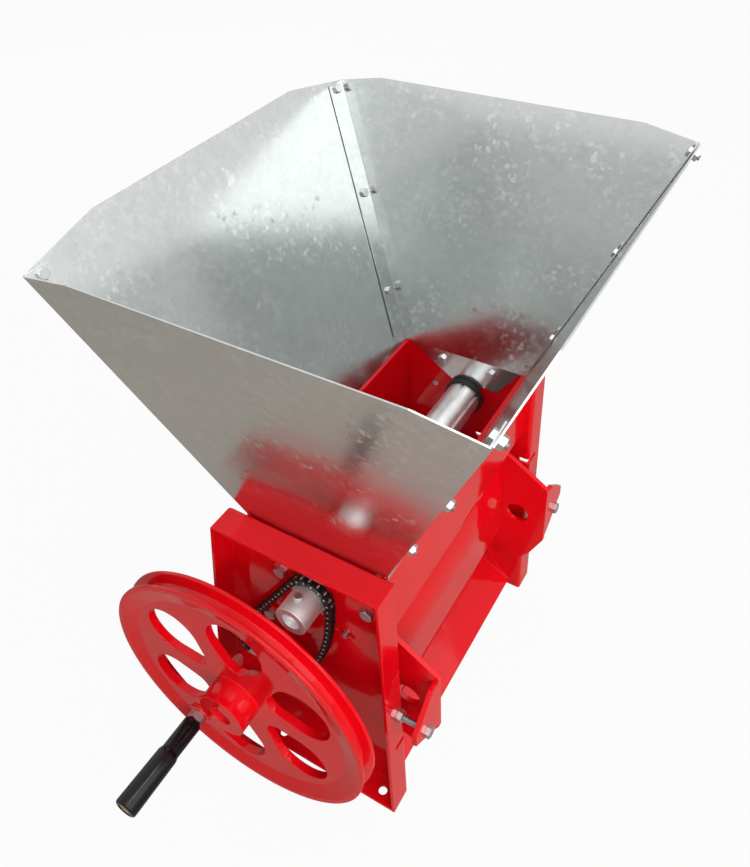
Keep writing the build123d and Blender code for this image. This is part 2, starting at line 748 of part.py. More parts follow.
# Sprockets
def sprocket_outline(teeth, phase):
    pitch_r = teeth * chain_pitch / (2 * pi)
    tip_r = chain_pitch / 2 * (0.6 + 1 / (sin(pi / teeth) / cos(pi / teeth)))
    seat_r = roller_r + seat_clear
    tip_turn = pi / teeth - tooth_tip / 2 / tip_r
    edges = []
    for index in range(teeth):
        turn = phase + 2 * pi * index / teeth
        centre = (pitch_r * cos(turn), pitch_r * sin(turn))
        seat = [(centre[0] - seat_r * cos(turn + swing), centre[1] - seat_r * sin(turn + swing))
                for swing in (radians(seat_spread), 0, -radians(seat_spread))]
        tips = [(tip_r * cos(turn + swing), tip_r * sin(turn + swing)) for swing in (-tip_turn, tip_turn)]
        following = turn + 2 * pi / teeth - tip_turn
        edges += [Line(tips[0], seat[0]), ThreePointArc(*seat), Line(seat[2], tips[1])]
        edges.append(Line(tips[1], (tip_r * cos(following), tip_r * sin(following))))
    return make_face(edges)


def sprocket(teeth, phase, x, z, bore_r, hub_radius, hub_length):
    """A plate sprocket with its hub towards -Y."""
    seat = Plane(origin=(x, chain_y + sprocket_t / 2, z), x_dir=(1, 0, 0), z_dir=(0, -1, 0))
    plate = extrude(seat * sprocket_outline(teeth, phase), amount=sprocket_t)
    hub_end = chain_y - sprocket_t / 2 - hub_length
    plate += rod(x, z, hub_radius, hub_end, chain_y)
    return plate - rod(x, z, bore_r + fit_clear, hub_end - sprocket_t, chain_y + sprocket_t)


def set_screw(x, z, shaft_radius, hub_radius, y):
    """A screw that stands on top of a hub and bears on the shaft."""
    kind = (set_screw_r, set_screw_flat, set_screw_head, 0)
    return bolt(kind, (x, y, z + hub_radius), (0, 0, -1), hub_radius - shaft_radius)


def screw_hole(x, z, hub_radius, y):
    return extrude(Plane(origin=(x, y, z)) * shank(set_screw_r + fit_clear), amount=2 * hub_radius)


drive_screw_y = chain_y - sprocket_t / 2 - drive_hub_length / 2
feed_screw_y = chain_y - sprocket_t / 2 - feed_hub_length / 2
drive_sprocket = sprocket(drive_teeth, drive_phase, shaft_x, shaft_z, shaft_r, drive_hub_r, drive_hub_length)
feed_sprocket = sprocket(feed_teeth, feed_phase, feed_x, feed_z, feed_shaft_r, feed_hub_r, feed_hub_length)
parts["drive_sprocket"] = drive_sprocket - screw_hole(shaft_x, shaft_z, drive_hub_r, drive_screw_y)
parts["feed_sprocket"] = feed_sprocket - screw_hole(feed_x, feed_z, feed_hub_r, feed_screw_y)
parts["drive_set_screw"] = set_screw(shaft_x, shaft_z, shaft_r, drive_hub_r, drive_screw_y)
parts["feed_set_screw"] = set_screw(feed_x, feed_z, feed_shaft_r, feed_hub_r, feed_screw_y)
parts["drive_chain"] = drive_chain()


# Breast
axis_xz = (shaft_x, shaft_z)


def on_breast(radius, angle):
    return (shaft_x + radius * cos(radians(angle)), shaft_z + radius * sin(radians(angle)))


flare_start = on_breast(breast_r, breast_high)
flare_end = (skin_top_x - breast_t, breast_top - breast_t)
flare_length = hypot(flare_end[0] - flare_start[0], flare_end[1] - flare_start[1])
flare_dir = [(flare_end[i] - flare_start[i]) / flare_length for i in (0, 1)]


def breast_concave():
    """An arc round the drum whose top fans out to the skin."""
    outer_r = breast_r + breast_t
    corner = (flare_start[0] + breast_t * flare_dir[1] - shaft_x,
              flare_start[1] - breast_t * flare_dir[0] - shaft_z)
    reach = corner[0] * flare_dir[0] + corner[1] * flare_dir[1]
    step = -reach + sqrt(reach ** 2 - corner[0] ** 2 - corner[1] ** 2 + outer_r ** 2)
    elbow = (corner[0] + step * flare_dir[0] + shaft_x, corner[1] + step * flare_dir[1] + shaft_z)
    elbow_angle = degrees(atan2(elbow[1] - shaft_z, elbow[0] - shaft_x))
    under = (flare_end[0], flare_end[1] - breast_t / flare_dir[0])
    wire = arc_xz(axis_xz, breast_r, breast_low, breast_high)
    wire += edges_in_xz([flare_start, flare_end, under, elbow])
    wire += arc_xz(axis_xz, outer_r, elbow_angle, breast_low)
    wire += edges_in_xz([on_breast(outer_r, breast_low), on_breast(breast_r, breast_low)])
    return slab(wire, -breast_half, breast_half)


def skin_curve(shift):
    """Outer line of the skin from its foot to its top, moved along X."""
    foot, bulge = (skin_foot_x + shift, 0, skin_foot_z), (skin_bulge_x + shift, 0, skin_bulge_z)
    knee, top = (skin_top_x + shift, 0, skin_knee_z), (skin_top_x + shift, 0, breast_top)
    return Line(foot, bulge) + TangentArc(bulge, knee, tangent=(0, 0, 1)) + Line(knee, top)


def breast_skin():
    wire = skin_curve(0) + skin_curve(-breast_t)
    wire += edges_in_xz([(skin_foot_x, skin_foot_z), (skin_foot_x - breast_t, skin_foot_z)])
    wire += edges_in_xz([(skin_top_x, breast_top), (skin_top_x - breast_t, breast_top)])
    return slab(wire, -breast_half, breast_half)


def breast_bracket():
    """The far bracket: a side plate that closes the breast and a tab bent outwards."""
    chin_front = ((bracket_front + bracket_chin_x) / 2, (bracket_low + bracket_chin_z) / 2 - bracket_t)
    outline = [on_breast(breast_r, breast_low), (bracket_heel_x, bracket_heel_z),
               (bracket_chin_x, bracket_chin_z), chin_front,
               (bracket_front, bracket_low), (bracket_front, bracket_high),
               (skin_top_x, bracket_shoulder), (skin_top_x, breast_top), (skin_top_x - breast_t, breast_top),
               flare_end, flare_start]
    wire = edges_in_xz(outline) + arc_xz(axis_xz, breast_r, breast_high, breast_low)
    outside = breast_half + bracket_t
    plate = slab(wire, breast_half, outside)
    reach = breast_half + tab_reach
    tab = [(breast_half, adjuster_z + tab_top), (outside + 2 * bracket_t, adjuster_z + tab_top),
           (reach - tab_lean, adjuster_z + tab_top - tab_shoulder), (reach, adjuster_z + bracket_t),
           (outside + bracket_t, adjuster_z - tab_foot + bracket_t), (breast_half, adjuster_z - tab_foot)]
    face = make_face(Polyline(*[(tab_inner, y, z) for y, z in tab + tab[:1]]))
    plate += extrude(face, amount=bracket_t, dir=(1, 0, 0))
    cuts = [rod(spanner_hole_x, adjuster_z, spanner_hole_r, breast_half - bracket_t, outside + bracket_t),
            rod(guide_x, guide_z, guide_r + fit_clear, breast_half - bracket_t, outside + bracket_t),
            rod_x(adjuster_y, adjuster_z, large_bolt[0] + run_clear,
                  tab_inner - bracket_t, bracket_front + bracket_t)]
    return plate - cuts


far_bracket = breast_bracket()
parts["breast_concave"] = breast_concave()
parts["breast_skin"] = breast_skin()
parts["far_breast_bracket"] = far_bracket
parts["near_breast_bracket"] = mirrored(far_bracket)
far_guide = rod(guide_x, guide_z, guide_r, breast_half, web_out + guide_reach)
parts["breast_guide_pins"] = group([far_guide, mirrored(far_guide)])


# Adjusting screws: held in the tabs, threaded in nuts on the front flanges
def adjuster(side):
    y = side * adjuster_y
    seat = bracket_front + face_gap
    screw = bolt(large_bolt, (seat, y, adjuster_z), (-1, 0, 0), seat - adjuster_tip)
    return screw, nut(large_bolt, (tab_inner - face_gap, y, adjuster_z), (-1, 0, 0))


def weld_nut(side):
    radius, half_flats, head, height = large_bolt
    seat = Plane(origin=(plate_front, side * adjuster_y, adjuster_z), z_dir=(1, 0, 0))
    return extrude(hexagon(seat, half_flats) - seat * Circle(radius + run_clear), amount=height)


for name, side in (("near", -1), ("far", 1)):
    screw, lock = adjuster(side)
    parts[name + "_adjuster_bolt"] = screw
    parts[name + "_adjuster_locknut"] = lock
parts["adjuster_weld_nuts"] = group([weld_nut(-1), weld_nut(1)])


# Hopper: four leaning sheets, the side pair folded over onto the end pair
def side_y(z):
    return hopper_half + hopper_side_out * (z - foot_z) / hopper_rise


def end_x(end, z):
    """X of the rear (-1) or front (+1) sheet at a height."""
    foot, out = (foot_front, hopper_front_out) if end > 0 else (foot_rear, -hopper_rear_out)
    return foot + out * (z - foot_z) / hopper_rise


def end_normal(end):
    out = hopper_front_out if end > 0 else hopper_rear_out
    return Vector(end * hopper_rise, 0, -out).normalized()


side_normal = Vector(0, hopper_rise, -hopper_side_out).normalized()
seam_heights = [hopper_top - seam_bolt_drop - index * seam_bolt_pitch for index in range(seam_bolt_count)]


def sheet(points, direction, thickness):
    return extrude(make_face(Polyline(*points, points[0])), amount=thickness, dir=tuple(direction))


def seam_point(end, side, z):
    return Vector(end_x(end, z), side * (side_y(z) - seam_width / 2), z)


def hopper_side():
    """The far side sheet with its two folded seams and its tongue inside the web."""
    crest = hopper_top + side_crown
    points = [(foot_rear, foot_z), (foot_front, foot_z), (end_x(1, hopper_top), hopper_top),
              (end_x(1, hopper_top) - side_clip, crest), (end_x(-1, hopper_top) + side_clip, crest),
              (end_x(-1, hopper_top), hopper_top)]
    panel = sheet([(x, side_y(z), z) for x, z in points], side_normal, hopper_t)
    for end in (-1, 1):
        root = foot_z + seam_start
        corners = ((root, hopper_t / 2), (hopper_top, hopper_t / 2),
                   (hopper_top, -seam_width), (root, -seam_width))
        strip = [(end_x(end, z), side_y(z) + shift, z) for z, shift in corners]
        panel += sheet(strip, -end_normal(end), hopper_t)
    tongue = [(-throat_rear + tongue_edge, foot_z), (tongue_rear_x, foot_z - tongue_depth),
              (tongue_front_x, foot_z - tongue_depth), (bar_front - bar_t - tongue_edge, foot_z)]
    panel += plate_xz(tongue, hopper_half, web_in)
    cuts = [bolt_hole(small_bolt, seam_point(end, 1, z), end_normal(end), 3 * hopper_t)
            for end in (-1, 1) for z in seam_heights]
    cuts += [bolt_hole(small_bolt, (x, web_in, seat_bolt_z), (0, 1, 0), 2 * plate_t) for x in side_seat_bolts]
    return panel - cuts


def hopper_end(end):
    """The rear or front sheet with its skirt on the frame."""
    low, high = side_y(foot_z) - edge_gap, side_y(hopper_top) - edge_gap
    crest = side_y(hopper_top) - end_clip
    points = [(-low, foot_z), (low, foot_z), (high, hopper_top), (crest, hopper_top + end_crown),
              (-crest, hopper_top + end_crown), (-high, hopper_top)]
    panel = sheet([(end_x(end, z), y, z) for y, z in points], end_normal(end), hopper_t)
    foot = end_x(end, foot_z)
    panel += block((foot, foot + end * hopper_t), (-low, low), (foot_z - skirt_depth, foot_z))
    cuts = [bolt_hole(small_bolt, seam_point(end, side, z), end_normal(end), 3 * hopper_t)
            for side in (-1, 1) for z in seam_heights]
    return panel - cuts


far_side = hopper_side()
parts["hopper_far_panel"] = far_side
parts["hopper_near_panel"] = mirrored(far_side)
parts["hopper_rear_panel"] = hopper_end(-1)
parts["hopper_front_panel"] = hopper_end(1)

seam_fasteners = [fastened(small_bolt, seam_point(end, side, z) - end_normal(end) * hopper_t, end_normal(end),
                           2 * hopper_t) for end in (-1, 1) for side in (-1, 1) for z in seam_heights]
parts["hopper_seam_bolts"] = group(pair[0] for pair in seam_fasteners)
parts["hopper_seam_nuts"] = group(pair[1] for pair in seam_fasteners)

seat_fasteners = [fastened(small_bolt, (x, side * hopper_half, seat_bolt_z), (0, side, 0), hopper_t + plate_t)
                  for x in side_seat_bolts for side in (-1, 1)]
parts["hopper_seat_bolts"] = group(pair[0] for pair in seat_fasteners)
parts["hopper_seat_nuts"] = group(pair[1] for pair in seat_fasteners)

for name, shape in parts.items():
    export_step(shape, "parts/" + name + ".step")
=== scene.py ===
import json
from math import cos, pi, radians, sin, tan

import bmesh
import bpy
from bpy.props import FloatProperty, FloatVectorProperty, IntProperty, PointerProperty
from mathutils import Matrix, Vector

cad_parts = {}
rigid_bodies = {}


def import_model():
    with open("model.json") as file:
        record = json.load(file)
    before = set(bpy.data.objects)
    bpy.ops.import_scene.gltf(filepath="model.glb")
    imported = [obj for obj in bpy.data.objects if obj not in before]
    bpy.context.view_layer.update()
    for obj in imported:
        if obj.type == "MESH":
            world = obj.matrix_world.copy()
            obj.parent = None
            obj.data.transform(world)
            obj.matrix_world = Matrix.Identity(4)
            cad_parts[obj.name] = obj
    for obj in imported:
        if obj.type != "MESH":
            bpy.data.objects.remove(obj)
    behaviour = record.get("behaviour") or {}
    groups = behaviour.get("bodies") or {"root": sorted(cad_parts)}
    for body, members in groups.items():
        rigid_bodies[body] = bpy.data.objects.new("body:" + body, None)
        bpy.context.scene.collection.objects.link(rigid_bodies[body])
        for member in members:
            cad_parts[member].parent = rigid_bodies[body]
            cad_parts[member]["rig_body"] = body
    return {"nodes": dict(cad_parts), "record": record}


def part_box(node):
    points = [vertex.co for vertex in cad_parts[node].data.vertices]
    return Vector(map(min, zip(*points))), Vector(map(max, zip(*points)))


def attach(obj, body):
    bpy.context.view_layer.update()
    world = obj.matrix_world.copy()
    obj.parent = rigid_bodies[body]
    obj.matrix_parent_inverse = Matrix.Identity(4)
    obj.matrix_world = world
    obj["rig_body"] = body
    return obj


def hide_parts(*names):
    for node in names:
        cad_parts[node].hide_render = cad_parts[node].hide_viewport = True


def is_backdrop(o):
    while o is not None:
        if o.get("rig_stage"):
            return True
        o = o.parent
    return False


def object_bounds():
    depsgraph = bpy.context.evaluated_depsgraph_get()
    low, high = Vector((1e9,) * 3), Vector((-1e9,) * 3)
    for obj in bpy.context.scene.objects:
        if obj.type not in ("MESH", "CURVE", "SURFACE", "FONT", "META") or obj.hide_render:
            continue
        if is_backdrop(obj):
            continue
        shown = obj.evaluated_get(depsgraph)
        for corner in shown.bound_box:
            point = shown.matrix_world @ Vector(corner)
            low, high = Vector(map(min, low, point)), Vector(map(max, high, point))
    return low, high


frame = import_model()
cad_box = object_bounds()

bl_info = {
    "name": "Coffee Huller Looks",
    "version": (1, 0, 0),
    "blender": (4, 5, 0),
    "location": "3D View > Sidebar > Huller",
    "description": "Dresses a hand-cranked coffee huller in enamel, spangled sheet, chain and fasteners",
    "category": "Object",
}

slot_of = {part["node"]: part["material_slot"] for part in frame["record"]["subparts"]}
finishes = {}


# Sizes and colours
def length(name, description, default):
    return FloatProperty(name=name, description=description, default=default, min=0, unit="LENGTH",
                         precision=5)


def colour(name, description, default):
    return FloatVectorProperty(name=name, description=description, default=default, min=0, max=1,
                               subtype="COLOR")


def angle(name, description, degrees):
    return FloatProperty(name=name, description=description, default=radians(degrees), subtype="ANGLE")


def power(name, description, default):
    return FloatProperty(name=name, description=description, default=default, min=0, unit="POWER")


class HullerColours(bpy.types.PropertyGroup):
    """Colours of the finishes."""

    enamel: colour("Enamel", "Gloss paint of the frame and the wheel", (0.75, 0.002, 0.008))
    enamel_deep: colour("Deep Enamel", "The same paint where it lies thicker", (0.66, 0.0015, 0.006))
    zinc_light: colour("Light Spangle", "Bright crystals of the galvanised sheet", (0.75, 0.77, 0.76))
    zinc_dark: colour("Dark Spangle", "Dull crystals of the galvanised sheet", (0.56, 0.58, 0.57))
    iron: colour("Iron", "Drum, and the concave of the breast", (0.19, 0.19, 0.195))
    steel: colour("Steel", "Shafts, sprockets, feed roller and drum sleeve", (0.82, 0.82, 0.81))
    chain: colour("Chain", "Oiled link plates", (0.012, 0.011, 0.01))
    grip: colour("Grip", "Moulded plastic of the grip", (0.003, 0.003, 0.0035))
    rubber: colour("Rubber", "End rings of the feed roller", (0.012, 0.012, 0.012))
    passivated: colour("Yellow Zinc", "Spindle of the crank with its slotted head", (0.72, 0.55, 0.2))
    passivated_pale: colour("Pale Yellow Zinc", "The same coat where it is thinner", (0.7, 0.6, 0.35))
    fastener: colour("Bright Zinc", "Bolts, nuts, set screws and guide pins", (0.6, 0.61, 0.62))


class HullerSizes(bpy.types.PropertyGroup):
    """Sizes of the detail that the dressing adds."""

    sheet_edge: length("Sheet Edge", "Rounding along painted sheet, the breast and the bearings", 0.0008)
    thin_edge: length("Thin Sheet Edge", "Rounding along the hopper's thin sheet", 0.0003)
    cast_edge: length("Cast Edge", "Rounding along the cast wheel and the grip", 0.0016)
    turned_edge: length("Turned Edge", "Bevel of turned and cut steel", 0.0004)
    sheet_bend: length("Sheet Bend", "Rounding where the hopper's sheet is folded", 0.003)
    seam_spring: length("Seam Spring", "How far the folded seams spring off the sheet below", 0.0008)
    lip_drop: length("Lip Drop", "Height of the lip along the foot of the breast's skin", 0.016)
    lip_tuck: length("Lip Tuck", "How far that lip leans in towards the drum", 0.0024)
    paint_film: length("Paint Film", "Thickness of the paint on the shaft's end", 0.00015)
    small_pitch: length("Small Thread", "Thread pitch of the smaller bolts", 0.001)
    large_pitch: length("Large Thread", "Thread pitch of the larger bolts", 0.00125)
    pin_radius: length("Chain Pin", "Radius of the riveted pins of the chain", 0.0011)
    rivet: length("Rivet", "How far a riveted pin stands out of its plate", 0.0005)
    link_waist: FloatProperty(name="Link Waist", default=0.72, min=0.4, max=1, subtype="FACTOR",
                              description="Height of a link's waist as a share of its ends")
    thread_sides: IntProperty(name="Thread Sides", default=16, min=8,
                              description="Steps in one turn of a thread")


class HullerStage(bpy.types.PropertyGroup):
    """Camera and light."""

    azimuth: angle("Azimuth", "Camera's turn round the object from the crank side", 33.28)
    elevation: angle("Elevation", "Camera's tilt above the horizon", 37.69)
    roll: angle("Roll", "Turn of the picture about the camera's axis", -3.59)
    place: FloatVectorProperty(name="Camera", description="Where the camera stands", subtype="TRANSLATION",
                               unit="LENGTH", default=(0.370, -0.585, 1.080))
    lens: FloatProperty(name="Lens", description="Focal length on a 36 mm sensor", default=35.266, min=1)
    shift: FloatVectorProperty(name="Shift", description="Shift of the lens across the picture", size=2,
                               default=(-0.0033, -0.1022))
    key_light: power("Key Light", "Power of the large soft lamp", 102)
    fill_light: power("Fill Light", "Power of the smaller soft lamp", 46)
    back_light: power("Back Light", "Power of the soft lamp behind", 34)
    spark_light: power("Spark Light", "Power of the small lamp that glints on edges", 5)
    surround: FloatProperty(name="Surround", default=0.18, min=0,
                            description="Strength of the light from all round")


# Shader expressions, and the numbers of a Mix node's sockets for colours
mix_share = 0
mix_first = 6
mix_second = 7
mix_result = 2


class Wire:
    """One output of a node; arithmetic on it adds Math nodes to the same finish."""

    def __init__(self, finish, socket):
        self.finish = finish
        self.socket = socket

    def __add__(self, other):
        return self.finish.maths("ADD", self, other)

    __radd__ = __add__

    def __sub__(self, other):
        return self.finish.maths("SUBTRACT", self, other)

    def __rsub__(self, other):
        return self.finish.maths("SUBTRACT", other, self)

    def __mul__(self, other):
        return self.finish.maths("MULTIPLY", self, other)

    __rmul__ = __mul__


class Finish:
    """A node tree that is written as expressions on wires."""

    def __init__(self, tree):
        self.tree = tree

    def node(self, kind, settings=None, sockets=None, output=0):
        """Add a node, set it up, feed its sockets with values or wires and return one output."""
        made = self.tree.nodes.new(kind)
        for name, value in (settings or {}).items():
            setattr(made, name, value)
        for name, value in (sockets or {}).items():
            self.feed(made.inputs[name], value)
        return Wire(self, made.outputs[output])

    def feed(self, socket, value):
        if isinstance(value, Wire):
            self.tree.links.new(value.socket, socket)
        else:
            socket.default_value = value

    def maths(self, operation, first, second):
        return self.node("ShaderNodeMath", {"operation": operation}, {0: first, 1: second})

    def vectors(self, operation, sockets):
        return self.node("ShaderNodeVectorMath", {"operation": operation}, sockets, "Vector")

    def blend(self, share, first, second):
        """A colour on the way from one to another, by a share."""
        sockets = {mix_share: share, mix_first: (*first, 1), mix_second: (*second, 1)}
        return self.node("ShaderNodeMix", {"data_type": "RGBA"}, sockets, mix_result)

    def place(self, stretch=(1, 1, 1)):
        """Where on the piece a point lies, in metres, with its axes stretched."""
        at = self.node("ShaderNodeTexCoord", output="Object")
        return self.node("ShaderNodeMapping", {"vector_type": "POINT"}, {"Vector": at, "Scale": stretch})

    def noise(self, at, size, detail=2.0, output="Fac"):
        """Cloudy values, or colours, whose features are about one size, in metres."""
        sockets = {"Vector": at, "Scale": 1 / size, "Detail": detail}
        return self.node("ShaderNodeTexNoise", None, sockets, output)

    def crystals(self, at, size):
        """A random vector and a random value for each crystal of about one size."""
        sockets = {"Vector": at, "Scale": 1 / size}
        cell = self.node("ShaderNodeTexVoronoi", {"feature": "F1"}, sockets, "Color")
        return cell, self.node("ShaderNodeSeparateColor", None, {"Color": cell}, "Red")

    def tipped(self, cell, amount):
        """The surface's normal, tipped by each crystal's own vector."""
        centred = self.vectors("SUBTRACT", {0: cell, 1: (0.5, 0.5, 0.5)})
        lean = self.vectors("SCALE", {0: centred, "Scale": amount})
        normal = self.node("ShaderNodeNewGeometry", output="Normal")
        return self.vectors("NORMALIZE", {0: self.vectors("ADD", {0: normal, 1: lean})})

    def contrast(self, value, low, high):
        """Stretch the values between two levels to the range from 0 to 1."""
        return self.node("ShaderNodeMapRange", {"clamp": True, "interpolation_type": "SMOOTHSTEP"},
                         {"Value": value, "From Min": low, "From Max": high}, "Result")

    def warped(self, at, size, amount):
        """A place pushed about by clouds of one size, in metres."""
        push = self.noise(at, size, output="Color")
        return self.vectors("MULTIPLY_ADD", {0: push, 1: (amount, amount, amount), 2: at})

    def rays(self):
        """Wires that are 1 for a ray from the camera, for one off a mirror and for one through glass."""
        path = self.node("ShaderNodeLightPath").socket.node.outputs
        return [Wire(self, path[f"Is {kind} Ray"]) for kind in ("Camera", "Glossy", "Transmission")]

    def relief(self, height, normal=None):
        """Bumps of a height in metres, on the surface's own normal or on a tipped one."""
        sockets = {"Height": height, "Distance": 1.0}
        if normal:
            sockets["Normal"] = normal
        return self.node("ShaderNodeBump", None, sockets, "Normal")


def finished(name, constants, paint):
    """A material whose fixed values are set on the shader and whose varying ones come from an expression."""
    material = bpy.data.materials.new(name)
    material.use_nodes = True
    shader = material.node_tree.nodes["Principled BSDF"]
    for socket, value in constants.items():
        shader.inputs[socket].default_value = value
    finish = Finish(material.node_tree)
    for socket, value in paint(finish).items():
        finish.feed(shader.inputs[socket], value)
    finishes[name] = material


def toned(plain, level):
    """A colour made lighter or darker by a level."""
    return tuple(level * part for part in plain)


def make_finishes(colours):
    """One material for each slot of the record."""

    def enamel(finish):
        drift = finish.noise(finish.place(), size=0.06)
        swell = finish.noise(finish.place(), size=0.04, detail=1.0)
        peel = finish.noise(finish.place(), size=0.003, detail=1.0)
        return {"Base Color": finish.blend(drift, colours.enamel_deep, colours.enamel),
                "Roughness": 0.05 + 0.05 * drift,
                "Normal": finish.relief(0.0004 * swell + 0.000012 * peel)}

    def spangle(finish):
        at = finish.place()
        cell, grain = finish.crystals(finish.warped(at, size=0.004, amount=0.008), size=0.005)
        patch = finish.noise(at, size=0.07, detail=3.0)
        cloud = finish.noise(at, size=0.02, detail=4.0)
        wave = finish.noise(at, size=0.16, detail=1.0)
        fleck = finish.contrast(grain, low=0.6, high=1.0) * finish.contrast(patch, low=0.4, high=0.65)
        bright = 0.5 * cloud + 0.2 * grain + 0.3 * fleck
        return {"Base Color": finish.blend(bright, colours.zinc_dark, colours.zinc_light),
                "Roughness": 0.15 + 0.06 * cloud + 0.06 * fleck,
                "Normal": finish.relief(0.0005 * wave, finish.tipped(cell, 0.11 * fleck))}

    def iron(finish):
        sand = finish.noise(finish.place(), size=0.0012, detail=3.0)
        return {"Base Color": finish.blend(sand, colours.iron, toned(colours.iron, 1.5)),
                "Roughness": 0.4 + 0.25 * sand,
                "Normal": finish.relief(0.0001 * sand)}

    def turned(finish):
        rings = finish.noise(finish.place(stretch=(0.05, 1, 0.05)), size=0.0006)
        stain = finish.contrast(finish.noise(finish.place(), size=0.02, detail=3.0), low=0.35, high=0.75)
        return {"Base Color": finish.blend(stain, colours.steel, toned(colours.steel, 0.8)),
                "Roughness": 0.42 + 0.16 * rings,
                "Normal": finish.relief(0.00002 * rings)}

    def oiled(finish):
        film = finish.noise(finish.place(), size=0.004, detail=3.0)
        return {"Base Color": finish.blend(film, colours.chain, toned(colours.chain, 2.6)),
                "Roughness": 0.3 + 0.25 * film}

    def moulded(finish):
        scuff = finish.noise(finish.place(stretch=(1, 0.2, 1)), size=0.003, detail=3.0)
        return {"Base Color": finish.blend(scuff, colours.grip, toned(colours.grip, 2)),
                "Roughness": 0.08 + 0.1 * scuff,
                "Normal": finish.relief(0.00001 * scuff)}

    def rubber(finish):
        bloom = finish.noise(finish.place(), size=0.003, detail=3.0)
        return {"Base Color": finish.blend(bloom, colours.rubber, toned(colours.rubber, 2)),
                "Roughness": 0.5 + 0.25 * bloom}

    def passivated(finish):
        tint = finish.noise(finish.place(), size=0.004)
        return {"Base Color": finish.blend(tint, colours.passivated, colours.passivated_pale),
                "Roughness": 0.22 + 0.16 * tint}

    def bright_zinc(finish):
        haze = finish.noise(finish.place(), size=0.0025, detail=3.0)
        return {"Base Color": finish.blend(haze, colours.fastener, toned(colours.fastener, 0.75)),
                "Roughness": 0.26 + 0.2 * haze}

    finished("red_paint", {"IOR": 1.32}, enamel)
    finished("galvanised_sheet", {"Metallic": 1.0}, spangle)
    finished("grey_iron", {"Metallic": 0.6}, iron)
    finished("bare_steel", {"Metallic": 1.0}, turned)
    finished("dark_chain", {"Metallic": 0.7}, oiled)
    finished("black_grip", {"IOR": 1.36}, moulded)
    finished("black_rubber", {"IOR": 1.5}, rubber)
    finished("yellow_zinc", {"Metallic": 1.0}, passivated)
    finished("zinc_fastener", {"Metallic": 1.0}, bright_zinc)


# Mesh helpers
crease_angle = radians(8)
flat_angle = radians(0.5)
weld_distance = 1e-6
spot_digits = 6
edge_weight = "bevel_weight_edge"


def body_of(node):
    return frame["nodes"][node]["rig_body"]


def spot(point):
    """A point rounded to a thousandth of a millimetre."""
    return tuple(round(value, spot_digits) for value in point)


def creases(source):
    """The true edges of a mesh, where the normals of its two sides differ, as pairs of spots."""
    sides = {}
    for face in source.polygons:
        spots = [spot(source.vertices[index].co) for index in face.vertices]
        normals = [source.corner_normals[index].vector for index in face.loop_indices]
        for index in range(len(spots)):
            side = {spots[index - 1]: normals[index - 1], spots[index]: normals[index]}
            sides.setdefault(frozenset(side), []).append(side)
    return {ends for ends, pair in sides.items()
            if len(pair) == 2 and any(pair[0][end].angle(pair[1][end], 0) > crease_angle for end in ends)}


def welded(node):
    """A node's solids with split corners joined, flat faces whole and true edges marked."""
    source = frame["nodes"][node].data
    true_edges = creases(source)
    form = bmesh.new()
    form.from_mesh(source)
    weight = form.edges.layers.float.new(edge_weight)
    bmesh.ops.remove_doubles(form, verts=form.verts, dist=weld_distance)
    for edge in form.edges:
        edge.smooth = frozenset(spot(vert.co) for vert in edge.verts) not in true_edges
        edge[weight] = 0 if edge.smooth else 1
    bmesh.ops.dissolve_limit(form, angle_limit=flat_angle, verts=form.verts, edges=form.edges,
                             delimit={"SHARP"})
    for edge in form.edges:
        edge.smooth = True
    form.verts.index_update()
    return form


def plain_mesh(form, name):
    """A fresh mesh of a form, without the normals that its source came with."""
    mesh = bpy.data.meshes.new(name)
    form.to_mesh(mesh)
    form.free()
    stale = mesh.attributes.get("custom_normal")
    if stale:
        mesh.attributes.remove(stale)
    return mesh


def shown(mesh, body, slot):
    """An object of that mesh in its slot's finish, riding on a body."""
    mesh.materials.clear()
    mesh.materials.append(finishes[slot])
    piece = bpy.data.objects.new(mesh.name, mesh)
    bpy.context.scene.collection.objects.link(piece)
    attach(piece, body)
    return piece


def rounded(node, width, steps=2, form=None):
    """Stand a node's form, or one made from it, in its place, with its sharp edges rolled over."""
    form = form or welded(node)
    wide = [face for face in form.faces if len(face.verts) > 4]
    bmesh.ops.triangulate(form, faces=wide, quad_method="BEAUTY", ngon_method="BEAUTY")
    mesh = plain_mesh(form, node + "_dressed")
    mesh.shade_smooth()
    piece = shown(mesh, body_of(node), slot_of[node])
    edges = piece.modifiers.new("edges", "BEVEL")
    edges.width = width
    edges.segments = steps
    edges.limit_method = "WEIGHT"
    edges.loop_slide = False
    edges.miter_outer = "MITER_ARC"
    flats = piece.modifiers.new("flats", "WEIGHTED_NORMAL")
    flats.keep_sharp = True
    settle(piece)
    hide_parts(node)


def settle(piece):
    """Apply a piece's modifiers to its mesh."""
    evaluated = piece.evaluated_get(bpy.context.evaluated_depsgraph_get())
    mesh = bpy.data.meshes.new_from_object(evaluated)
    mesh.name = piece.name
    piece.modifiers.clear()
    piece.data = mesh


def stand_in(form, node):
    """Stand a new form in the place of a node, with the node's body and finish."""
    piece = shown(plain_mesh(form, node + "_dressed"), body_of(node), slot_of[node])
    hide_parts(node)


def islands(form):
    """The separate solids of a form, as lists of vertices; solids that only touch stay apart."""
    seen = set()
    for first in form.faces:
        if first in seen:
            continue
        seen.add(first)
        reached = [first]
        for face in reached:
            for edge in face.edges:
                if len(edge.link_faces) == 2:
                    fresh = [other for other in edge.link_faces if other not in seen]
                    seen.update(fresh)
                    reached += fresh
        yield sorted({vert for face in reached for vert in face.verts}, key=lambda vert: vert.index)


def middle(points):
    return sum(points, Vector()) / len(points)


def bands(form, rings):
    """Bands of faces between rings, one after the other."""
    for lower, upper in zip(rings, rings[1:]):
        for index in range(len(lower)):
            after = (index + 1) % len(lower)
            form.faces.new((lower[index], lower[after], upper[after], upper[index]))


